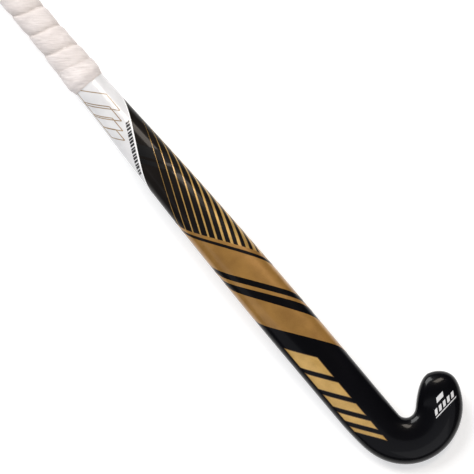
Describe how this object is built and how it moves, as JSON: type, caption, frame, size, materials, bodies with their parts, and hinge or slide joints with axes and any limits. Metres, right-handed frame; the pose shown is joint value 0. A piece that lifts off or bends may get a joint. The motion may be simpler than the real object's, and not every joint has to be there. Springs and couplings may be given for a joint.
{
  "type": "field hockey stick",
  "caption": "Composite field hockey stick with a hooked head, a bowed shaft with a flat playing face and a rounded back, and a spiral-wound cushion grip over a plugged handle.",
  "frame": {"origin": "middle of the lying stick's footprint, on the ground; the stick lies on its playing face", "axes": "+X from the butt to the head, +Y to the toe, +Z out of the rounded back, which rolls 5.4 degrees to the heel side as the stick comes to rest"},
  "size_m": [0.9268, 0.1138, 0.0431],
  "materials": {
    "laminate": "gloss",
    "fibre_sleeve": "satin",
    "foam": "matte",
    "aramid": "satin",
    "plug_plastic": "satin",
    "cap_rubber": "matte",
    "base_tape": "matte",
    "grip_cloth": "matte",
    "finishing_cloth": "satin"
  },
  "bodies": {
    "root": {"laminate_shell": "laminate", "toe_side_core_sleeve": "fibre_sleeve", "heel_side_core_sleeve": "fibre_sleeve", "toe_side_foam_core": "foam", "heel_side_foam_core": "foam", "head_foam_core": "foam", "face_reinforcement": "aramid", "heel_reinforcement": "aramid", "handle_plug": "plug_plastic", "butt_cap": "cap_rubber", "grip_base_tape": "base_tape", "grip_tape": "grip_cloth", "finishing_tape": "finishing_cloth"}
  },
  "joints": []
}
